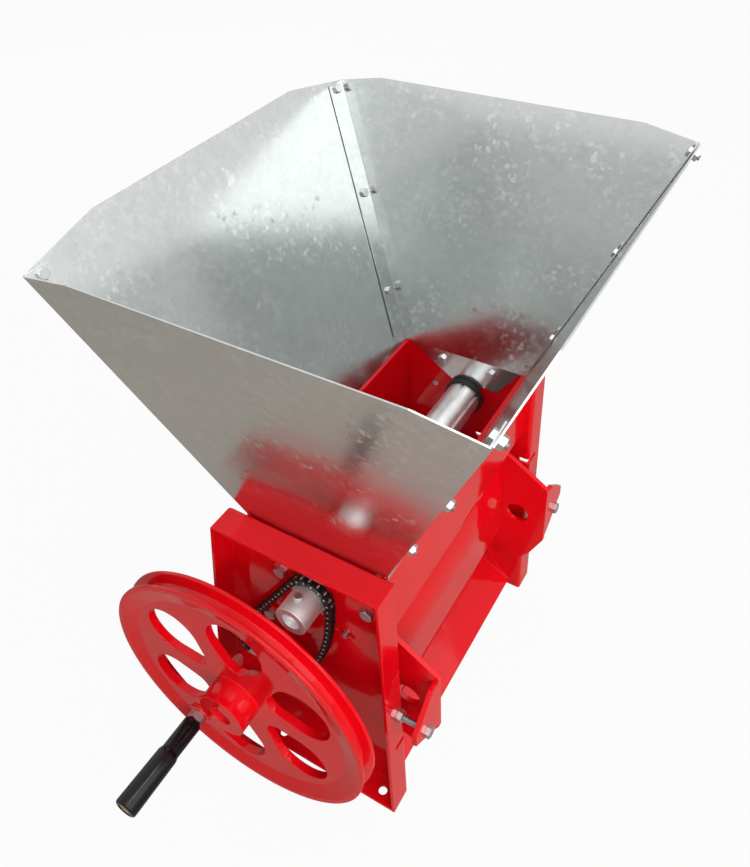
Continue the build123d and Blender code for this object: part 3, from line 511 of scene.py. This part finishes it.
def closed(form, rings):
    """Bands between rings, with a face over the first and the last of them."""
    bands(form, rings)
    form.faces.new(list(reversed(rings[0])))
    form.faces.new(rings[-1])


class Axis:
    """A point and a direction, with a reference across it for angles."""

    def __init__(self, origin, along, across):
        self.origin = origin
        self.along = along.normalized()
        self.across = (across - self.along * across.dot(self.along)).normalized()
        self.third = self.along.cross(self.across)

    def at(self, lift, radius, turn):
        """The point at a lift along the axis, a radius and a turn round it."""
        return self.origin + self.along * lift + (self.across * cos(turn) + self.third * sin(turn)) * radius

    def lift(self, point):
        """How far along the axis a point lies."""
        return (point - self.origin).dot(self.along)

    def arm(self, point):
        """The straight way from the axis out to a point."""
        return (point - self.origin) - self.along * self.lift(point)

    def ring(self, form, lift, radius, sides):
        return [form.verts.new(self.at(lift, radius, 2 * pi * step / sides)) for step in range(sides)]


# Fasteners
hex_sides = 24  # steps round a head or nut
chamfer_angle = radians(30)
face_share = 0.96  # radius of a head's round face, of half the width across its flats
mouth_share = 0.12  # countersink of a nut, of its bore
thread_depth = 0.55  # of the pitch
spare_rows = 2  # rows of a thread past its ends, which are held to the end's lift
corner_share = 0.9  # of a head's reach, beyond which a point belongs to the head
tip_share = 0.98  # of a bolt's depth, beyond which a point belongs to its tip


def hex_ring(form, axis, half_flats, lift):
    """A ring round a hexagon whose heights come from a function of the distance from its axis."""
    ring = []
    for index in range(hex_sides):
        turn = 2 * pi * index / hex_sides
        reach = half_flats / cos(turn % (pi / 3) - pi / 6)
        ring.append(form.verts.new(axis.at(lift(reach), reach, turn)))
    return ring


def hexagon(form, axis, half_flats, height, bore=0.0):
    """A hexagon with its corners turned off: a head, or a nut if it has a bore."""
    face_radius = face_share * half_flats

    def turned_off(reach):
        return max(0.0, reach - face_radius) * tan(chamfer_angle)

    foot = turned_off if bore else lambda reach: 0.0
    low = hex_ring(form, axis, half_flats, foot)
    high = hex_ring(form, axis, half_flats, lambda reach: height - turned_off(reach))
    crown = axis.ring(form, height, face_radius, hex_sides)
    if bore:
        sole = axis.ring(form, 0.0, face_radius, hex_sides)
        mouth = axis.ring(form, height, (1 + mouth_share) * bore, hex_sides)
        inside = axis.ring(form, height - mouth_share * bore, bore, hex_sides)
        bands(form, [sole, low, high, crown, mouth, inside])
        form.faces.new(list(reversed(sole)))
    else:
        closed(form, [low, high, crown])


def thread(form, axis, radius, end, pitch, sides):
    """A helical thread up to a lift, of crests and roots half a pitch apart, closed by a flat end."""
    root = radius - thread_depth * pitch
    rows = int(2 * end / pitch) + 2 * spare_rows
    grid = []
    for row in range(-spare_rows, rows + 1):
        reach = radius if row % 2 else root
        lifts = [(row / 2 + step / sides) * pitch for step in range(sides)]
        grid.append([form.verts.new(axis.at(min(max(lift, 0.0), end), reach, 2 * pi * step / sides))
                     for step, lift in enumerate(lifts)])
    for row in range(len(grid) - 3):
        lower = grid[row]
        upper = grid[row + 1]
        for step in range(sides - 1):
            form.faces.new((lower[step], lower[step + 1], upper[step + 1], upper[step]))
        form.faces.new((lower[-1], grid[row + 2][0], grid[row + 3][0], upper[-1]))
    form.faces.new(axis.ring(form, end, root, sides))


def read_bolt(solid):
    """Axis from the head's seat to the tip, half flats, head height, shank radius and shank length."""
    faces = {face for vert in solid for face in vert.link_faces}
    top = max((face for face in faces if len(face.verts) == 6), key=lambda face: face.calc_area())
    crown = top.calc_center_median()
    out = top.normal.copy()

    def drop(vert):
        return (crown - vert.co).dot(out)

    def reach(vert):
        return ((vert.co - crown) + out * drop(vert)).length

    corner = max(solid, key=reach)
    head = max(drop(vert) for vert in solid if reach(vert) > corner_share * reach(corner))
    depth = max(drop(vert) for vert in solid)
    shank = max(reach(vert) for vert in solid if drop(vert) > tip_share * depth)
    axis = Axis(crown - out * head, -out, corner.co - crown)
    return axis, reach(corner) * cos(pi / 6), head, shank, depth - head


def bolts(node, pitch, sides):
    """Stand detailed bolts in the place of a node of bolts, and return their axes."""
    source = welded(node)
    form = bmesh.new()
    axes = []
    for solid in islands(source):
        axis, half_flats, head, shank, reach = read_bolt(solid)
        cap = Axis(axis.origin, -axis.along, axis.across)
        hexagon(form, cap, half_flats, head)
        thread(form, axis, shank, reach, pitch, sides)
        axes.append(axis)
    source.free()
    stand_in(form, node)
    return axes


def nuts(node, axes):
    """Stand detailed nuts in the place of a node of nuts, each on the nearest of some axes."""
    source = welded(node)
    form = bmesh.new()
    for solid in islands(source):
        centre = middle([vert.co for vert in solid])
        line = min(axes, key=lambda axis: axis.arm(centre).length)
        lifts = [line.lift(vert.co) for vert in solid]
        arms = [line.arm(vert.co) for vert in solid]
        corner = max(arms, key=lambda arm: arm.length)
        bore = min(arm.length for arm in arms)
        seat = Axis(line.origin + line.along * min(lifts), line.along, corner)
        hexagon(form, seat, corner.length * cos(pi / 6), max(lifts) - min(lifts), bore)
    source.free()
    stand_in(form, node)


# Chain
end_steps = 9  # steps round a link's end
end_sweep = radians(112)  # half of the turn that a link's end makes
pin_sides = 14
roller_share = 0.65  # radius of a roller, of a link's half height
rivet_share = 0.6  # of a rivet's height, where it starts to taper, and of the pin's radius, at its end


class Link:
    """What one plain link of the frame measures."""

    def __init__(self, points):
        self.centre = middle(points)
        tip = max(points, key=lambda point: (point.x - self.centre.x) ** 2 + (point.z - self.centre.z) ** 2)
        self.along = tip - self.centre
        self.along.y = 0
        self.along.normalize()
        self.up = Vector((-self.along.z, 0, self.along.x))
        self.half_height = max((point - self.centre).dot(self.up) for point in points)
        self.low = min(point.y for point in points)
        self.high = max(point.y for point in points)


def link_outline(pitch, half_height, waist):
    """All round a link in its own plane: an end and the waist, then both again on the other side."""
    half = []
    for step in range(end_steps + 1):
        turn = -end_sweep + 2 * end_sweep * step / end_steps
        half.append((pitch / 2 + half_height * cos(turn), half_height * sin(turn)))
    half.append((0.0, waist * half_height))
    return half + [(-x, -y) for x, y in half]


def link_plate(form, link, outline, low, high):
    """A waisted plate in the place of a link, between two places along Y."""
    rings = []
    for y in (low, high):
        foot = Vector((link.centre.x, y, link.centre.z))
        rings.append([form.verts.new(foot + link.along * run + link.up * rise) for run, rise in outline])
    closed(form, rings)


def riveted(low, high, radius, rivet):
    """Places and radii along a pin that stands out by a rivet at both ends."""
    end = [(rivet, rivet_share * radius), (rivet_share * rivet, radius), (0.0, radius)]
    return [(low - out, wide) for out, wide in end] + [(high + out, wide) for out, wide in reversed(end)]


def turned_pin(form, x, z, profile):
    """A pin along Y from a profile of places and radii, closed at both ends."""
    axis = Axis(Vector((x, 0, z)), Vector((0, 1, 0)), Vector((1, 0, 0)))
    closed(form, [axis.ring(form, y, radius, pin_sides) for y, radius in profile])


# Operators, and how they tell the faces of the hopper's sheets and of a shaft's end apart
strip_slope = 0.5  # share of X in the normal of a folded strip, at least
strip_faces = 4  # both sides of the two folded strips
spring_start = 0.1  # of a strip's depth, beyond which it springs off the sheet below
cut_share = 0.1  # of the largest strip's area, below which a face is a cut edge
end_facing = 0.99  # share of the shaft's direction in the normal of its end, at least


class HULLER_OT_finishes(bpy.types.Operator):
    """Make the finishes and put one on every node of the frame"""

    bl_idname = "huller.finishes"
    bl_label = "Finishes"

    def execute(self, context):
        make_finishes(context.scene.huller_colours)
        for name, node in frame["nodes"].items():
            node.data.materials.clear()
            node.data.materials.append(finishes[slot_of[name]])
        return {"FINISHED"}


class HULLER_OT_sheet_frame(bpy.types.Operator):
    """Round the edges of the painted plates, bars and chute"""

    bl_idname = "huller.sheet_frame"
    bl_label = "Painted Frame"

    def execute(self, context):
        width = context.scene.huller_sizes.sheet_edge
        for node in ("near_end_plate", "far_end_plate", "front_cross_bar", "rear_throat_plate",
                     "rear_tie_bar", "discharge_chute"):
            rounded(node, width)
        return {"FINISHED"}


class HULLER_OT_hopper(bpy.types.Operator):
    """Round the thin edges and the folds of the hopper's sheets, and spring their seams"""

    bl_idname = "huller.hopper"
    bl_label = "Hopper"

    def execute(self, context):
        sizes = context.scene.huller_sizes
        for node in ("hopper_rear_panel", "hopper_front_panel"):
            rounded(node, sizes.thin_edge)
        for node in ("hopper_near_panel", "hopper_far_panel"):
            form = self.sprung_seams(node, sizes.seam_spring)
            self.bend(form, sizes.thin_edge / sizes.sheet_bend)
            rounded(node, sizes.sheet_bend, steps=3, form=form)
        return {"FINISHED"}

    def sprung_seams(self, node, spring):
        """A side sheet whose two folded seams stand off the end sheets at their free edges."""
        form = welded(node)
        panel = max(form.faces, key=lambda face: face.calc_area())
        root = panel.calc_center_median()
        inward = panel.normal * (-1 if panel.normal.y * root.y > 0 else 1)
        folds = [face for face in form.faces if abs(face.normal.x) > strip_slope]
        strips = sorted(folds, key=lambda face: face.calc_area())[-strip_faces:]
        faces = [(face.calc_center_median(), face.normal.copy()) for face in strips]
        depth = max((vert.co - root).dot(inward) for vert in form.verts)
        for vert in form.verts:
            reach = (vert.co - root).dot(inward)
            if reach > spring_start * depth:
                centre, normal = min(faces, key=lambda face: (face[0] - vert.co).length)
                lift = normal if normal.x * (centre.x - root.x) < 0 else -normal
                vert.co += lift * spring * reach / depth
        return form

    def bend(self, form, edge_share):
        """Round the folds in full, and the cut edges by a share of that."""
        weight = form.edges.layers.float[edge_weight]
        strips = [face.calc_area() for face in form.faces if abs(face.normal.x) > strip_slope]
        cut_area = cut_share * max(strips)
        for edge in form.edges:
            if edge[weight] and min(face.calc_area() for face in edge.link_faces) < cut_area:
                edge[weight] = edge_share


class HULLER_OT_flywheel(bpy.types.Operator):
    """Round the cast flywheel, dress its key and shafts, and paint the shaft's end"""

    bl_idname = "huller.flywheel"
    bl_label = "Flywheel"

    def execute(self, context):
        sizes = context.scene.huller_sizes
        rounded("flywheel_pulley", sizes.cast_edge, steps=3)
        for node in ("flywheel_key", "main_shaft", "shaft_collar", "crank_spindle"):
            rounded(node, sizes.turned_edge)
        film = bmesh.new()
        for node in ("main_shaft", "flywheel_key"):
            self.coat(film, welded(node), Vector((0, -1, 0)), sizes.paint_film)
        shown(plain_mesh(film, "shaft_end_paint"), body_of("main_shaft"), slot_of["flywheel_pulley"])
        return {"FINISHED"}

    def coat(self, film, source, facing, thickness):
        """Add a thin film over the end faces of a form, on the side of a direction."""
        end = max(vert.co.dot(facing) for vert in source.verts)
        for face in source.faces:
            level = face.calc_center_median().dot(facing)
            if face.normal.dot(facing) > end_facing and level > end - thickness:
                low = [film.verts.new(vert.co) for vert in face.verts]
                high = [film.verts.new(vert.co + facing * thickness) for vert in face.verts]
                closed(film, [low, high])
        source.free()


class HULLER_OT_grip(bpy.types.Operator):
    """Round the moulded grip of the crank"""

    bl_idname = "huller.grip"
    bl_label = "Crank Grip"

    def execute(self, context):
        rounded("crank_grip", context.scene.huller_sizes.cast_edge, steps=4)
        return {"FINISHED"}


class HULLER_OT_bearings(bpy.types.Operator):
    """Round the cast bearings"""

    bl_idname = "huller.bearings"
    bl_label = "Bearings"

    def execute(self, context):
        for node in ("near_main_bearing", "far_main_bearing", "near_feed_bearing", "far_feed_bearing"):
            rounded(node, context.scene.huller_sizes.sheet_edge)
        return {"FINISHED"}


class HULLER_OT_rollers(bpy.types.Operator):
    """Dress the drum and the fluted feed roller"""

    bl_idname = "huller.rollers"
    bl_label = "Drum and Roller"

    def execute(self, context):
        for node in ("drum_end_discs", "drum_tube", "drum_sleeve", "feed_shaft", "feed_roller",
                     "feed_end_rings"):
            rounded(node, context.scene.huller_sizes.turned_edge)
        return {"FINISHED"}


class HULLER_OT_breast(bpy.types.Operator):
    """Round the breast, its brackets and its guide pins, and give its skin a lip"""

    bl_idname = "huller.breast"
    bl_label = "Breast"

    def execute(self, context):
        sizes = context.scene.huller_sizes
        for node in ("breast_concave", "near_breast_bracket", "far_breast_bracket", "breast_guide_pins"):
            rounded(node, sizes.sheet_edge)
        rounded("breast_skin", sizes.sheet_edge, form=self.lipped(sizes.lip_drop, sizes.lip_tuck))
        return {"FINISHED"}

    def lipped(self, drop, tuck):
        """The skin with a lip along its foot that is tucked in towards the drum."""
        form = welded("breast_skin")
        weight = form.edges.layers.float[edge_weight]
        foot = min(form.faces, key=lambda face: face.calc_center_median().z)
        lip = bmesh.ops.extrude_discrete_faces(form, faces=[foot])["faces"][0]
        for vert in lip.verts:
            vert.co += Vector((-tuck, 0, -drop))
        for edge in lip.edges:
            edge[weight] = 1
        return form


class HULLER_OT_sprockets(bpy.types.Operator):
    """Bevel the teeth and hubs of the sprockets"""

    bl_idname = "huller.sprockets"
    bl_label = "Sprockets"

    def execute(self, context):
        for node in ("drive_sprocket", "feed_sprocket"):
            rounded(node, context.scene.huller_sizes.turned_edge)
        return {"FINISHED"}


class HULLER_OT_chain(bpy.types.Operator):
    """Build the roller chain link by link over the plain links of the frame"""

    bl_idname = "huller.chain"
    bl_label = "Roller Chain"

    def execute(self, context):
        sizes = context.scene.huller_sizes
        source = welded("drive_chain")
        links = [Link([vert.co for vert in solid]) for solid in islands(source)]
        source.free()
        thickness = min(link.high - link.low for link in links)
        inner = [link for link in links if link.high - link.low > 2 * thickness]
        outer = [link for link in links if link not in inner]
        gaps = [(one.centre - other.centre).length for one in inner for other in inner if one is not other]
        pitch = min(gaps) / 2
        half_height = outer[0].half_height
        outline = link_outline(pitch, half_height, sizes.link_waist)
        roller = roller_share * half_height
        pin = riveted(min(link.low for link in outer), max(link.high for link in outer),
                      sizes.pin_radius, sizes.rivet)
        plates = bmesh.new()
        pins = bmesh.new()
        for link in outer:
            link_plate(plates, link, outline, link.low, link.high)
        for link in inner:
            low = link.low + thickness
            high = link.high - thickness
            link_plate(plates, link, outline, link.low, low)
            link_plate(plates, link, outline, high, link.high)
            for side in (-1, 1):
                x, z = (link.centre + link.along * side * pitch / 2).xz
                turned_pin(plates, x, z, [(low, roller), (high, roller)])
                turned_pin(pins, x, z, pin)
        chain = shown(plain_mesh(plates, "drive_chain_links"), "frame", "dark_chain")
        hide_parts("drive_chain")
        shown(plain_mesh(pins, "drive_chain_pins"), "frame", "bare_steel")
        return {"FINISHED"}


class HULLER_OT_fasteners(bpy.types.Operator):
    """Build chamfered heads, nuts and threads in the place of the plain fasteners"""

    bl_idname = "huller.fasteners"
    bl_label = "Fasteners"

    def execute(self, context):
        sizes = context.scene.huller_sizes
        small = [(name + "_bolts", name + "_nuts") for name in ("chute", "hopper_seam", "hopper_seat")]
        for heads, backs in small:
            nuts(backs, bolts(heads, sizes.small_pitch, sizes.thread_sides))
        nuts("bearing_nuts", bolts("bearing_bolts", sizes.large_pitch, sizes.thread_sides))
        weld_axes = []
        for side in ("near", "far"):
            axes = bolts(side + "_adjuster_bolt", sizes.large_pitch, sizes.thread_sides)
            nuts(side + "_adjuster_locknut", axes)
            weld_axes += axes
        nuts("adjuster_weld_nuts", weld_axes)
        for node in ("drive_set_screw", "feed_set_screw"):
            bolts(node, sizes.small_pitch, sizes.thread_sides)
        low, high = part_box("crank_spindle")
        nuts("crank_nuts", [Axis((low + high) / 2, Vector((0, 1, 0)), Vector((1, 0, 0)))])
        return {"FINISHED"}


# Stage, with the places and widths of its lamps and its floor in metres
plain_white = (1, 1, 1, 1)
lamp_colour = (0.96, 0.975, 1.0)
key_place = (1.6, -0.5, 2.6)
fill_place = (2.1, -1.6, 1.45)
back_place = (-2.2, 1.5, 1.5)
spark_place = (0.9, -1.6, 2.2)
key_width = 5.2
soft_width = 2.4
spark_width = 0.3
floor_half = 6
floor_colour = (0.42, 0.38, 0.33, 1)
floor_seen = 0.95  # share of plain white that the camera sees in the floor
floor_mirrored = 0.06  # the same share in what mirrors the floor


class HULLER_OT_stage(bpy.types.Operator):
    """Set the floor, the soft lamps, the white surround and the camera"""

    bl_idname = "huller.stage"
    bl_label = "Stage"

    def execute(self, context):
        stage = context.scene.huller_stage
        self.floor()
        self.surround(context.scene, stage.surround)
        self.lamp("key_lamp", key_place, key_width, stage.key_light)
        self.lamp("fill_lamp", fill_place, soft_width, stage.fill_light).visible_glossy = False
        self.lamp("back_lamp", back_place, soft_width, stage.back_light).visible_glossy = False
        self.lamp("spark_lamp", spark_place, spark_width, stage.spark_light)
        self.camera(context.scene, stage)
        context.scene.view_settings.view_transform = "Standard"
        return {"FINISHED"}

    def floor(self):
        form = bmesh.new()
        bmesh.ops.create_grid(form, x_segments=1, y_segments=1, size=floor_half)
        mesh = plain_mesh(form, "floor")
        mesh.materials.append(self.paper())
        floor = bpy.data.objects.new("floor", mesh)
        bpy.context.scene.collection.objects.link(floor)
        floor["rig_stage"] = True

    def paper(self):
        """The floor's finish: pale paper that is nearly white to the camera."""
        material = bpy.data.materials.new("floor_paper")
        material.use_nodes = True
        nodes = material.node_tree.nodes
        shader = nodes["Principled BSDF"]
        shader.inputs["Base Color"].default_value = floor_colour
        shader.inputs["Roughness"].default_value = 0.9
        shader.inputs["Specular IOR Level"].default_value = 0.0
        paper = Finish(material.node_tree)
        lit = Wire(paper, shader.outputs["BSDF"])
        glow = paper.node("ShaderNodeEmission", None, {"Color": plain_white, "Strength": 1.0})
        seen, mirrored, through = paper.rays()
        share = floor_seen * seen + floor_mirrored * (mirrored + through)
        mixed = paper.node("ShaderNodeMixShader", None, {0: share, 1: lit, 2: glow})
        paper.feed(nodes["Material Output"].inputs["Surface"], mixed)
        return material

    def surround(self, scene, strength):
        """White to the camera and in reflections, and a light on the object at its own strength."""
        world = bpy.data.worlds.new("white_surround")
        scene.world = world
        world.use_nodes = True
        sky = Finish(world.node_tree)
        light, white = (sky.node("ShaderNodeBackground", None, {"Color": plain_white, "Strength": level})
                        for level in (strength, 1.0))
        seen, mirrored, through = sky.rays()
        mixed = sky.node("ShaderNodeMixShader", None, {0: seen + mirrored + through, 1: light, 2: white})
        sky.feed(world.node_tree.nodes["World Output"].inputs["Surface"], mixed)

    def lamp(self, name, place, width, watts):
        light = bpy.data.lights.new(name, "AREA")
        light.shape = "DISK"
        light.size = width
        light.energy = watts
        light.color = lamp_colour
        lamp = bpy.data.objects.new(name, light)
        lamp.location = place
        centre = (cad_box[0] + cad_box[1]) / 2
        lamp.rotation_euler = (centre - Vector(place)).to_track_quat("-Z", "Y").to_euler()
        bpy.context.scene.collection.objects.link(lamp)
        return lamp

    def camera(self, scene, stage):
        turn, tilt, roll = stage.azimuth, stage.elevation, stage.roll
        back = Vector((sin(turn) * cos(tilt), -cos(turn) * cos(tilt), sin(tilt)))
        right = Vector((cos(turn), sin(turn), 0))
        up = back.cross(right)
        across = right * cos(roll) + up * sin(roll)
        lens = bpy.data.cameras.new("camera")
        lens.lens = stage.lens
        lens.shift_x, lens.shift_y = stage.shift
        camera = bpy.data.objects.new("camera", lens)
        frame_axes = Matrix((across, back.cross(across), back)).transposed()
        camera.matrix_world = Matrix.Translation(Vector(stage.place)) @ frame_axes.to_4x4()
        scene.collection.objects.link(camera)
        scene.camera = camera


# Add-on
operators = (HULLER_OT_finishes, HULLER_OT_sheet_frame, HULLER_OT_hopper, HULLER_OT_flywheel, HULLER_OT_grip,
             HULLER_OT_bearings, HULLER_OT_rollers, HULLER_OT_breast, HULLER_OT_sprockets, HULLER_OT_chain,
             HULLER_OT_fasteners, HULLER_OT_stage)


class HULLER_PT_looks(bpy.types.Panel):
    """Lists the pieces of the huller"""

    bl_idname = "HULLER_PT_looks"
    bl_label = "Coffee Huller"
    bl_space_type = "VIEW_3D"
    bl_region_type = "UI"
    bl_category = "Huller"

    def draw(self, context):
        for operator in operators:
            self.layout.operator(operator.bl_idname)


groups = {"huller_colours": HullerColours, "huller_sizes": HullerSizes, "huller_stage": HullerStage}


def register():
    for kind in (*groups.values(), *operators, HULLER_PT_looks):
        bpy.utils.register_class(kind)
    for name, kind in groups.items():
        setattr(bpy.types.Scene, name, PointerProperty(type=kind))


def unregister():
    for name in groups:
        delattr(bpy.types.Scene, name)
    for kind in reversed((*groups.values(), *operators, HULLER_PT_looks)):
        bpy.utils.unregister_class(kind)


def main():
    register()
    for operator in operators:
        group, name = operator.bl_idname.split(".")
        getattr(getattr(bpy.ops, group), name)()
    boxes = {"cad": cad_box, "visual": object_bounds()}
    {name: [list(corner) for corner in box] for name, box in boxes.items()}


if __name__ == "__main__":
    main()
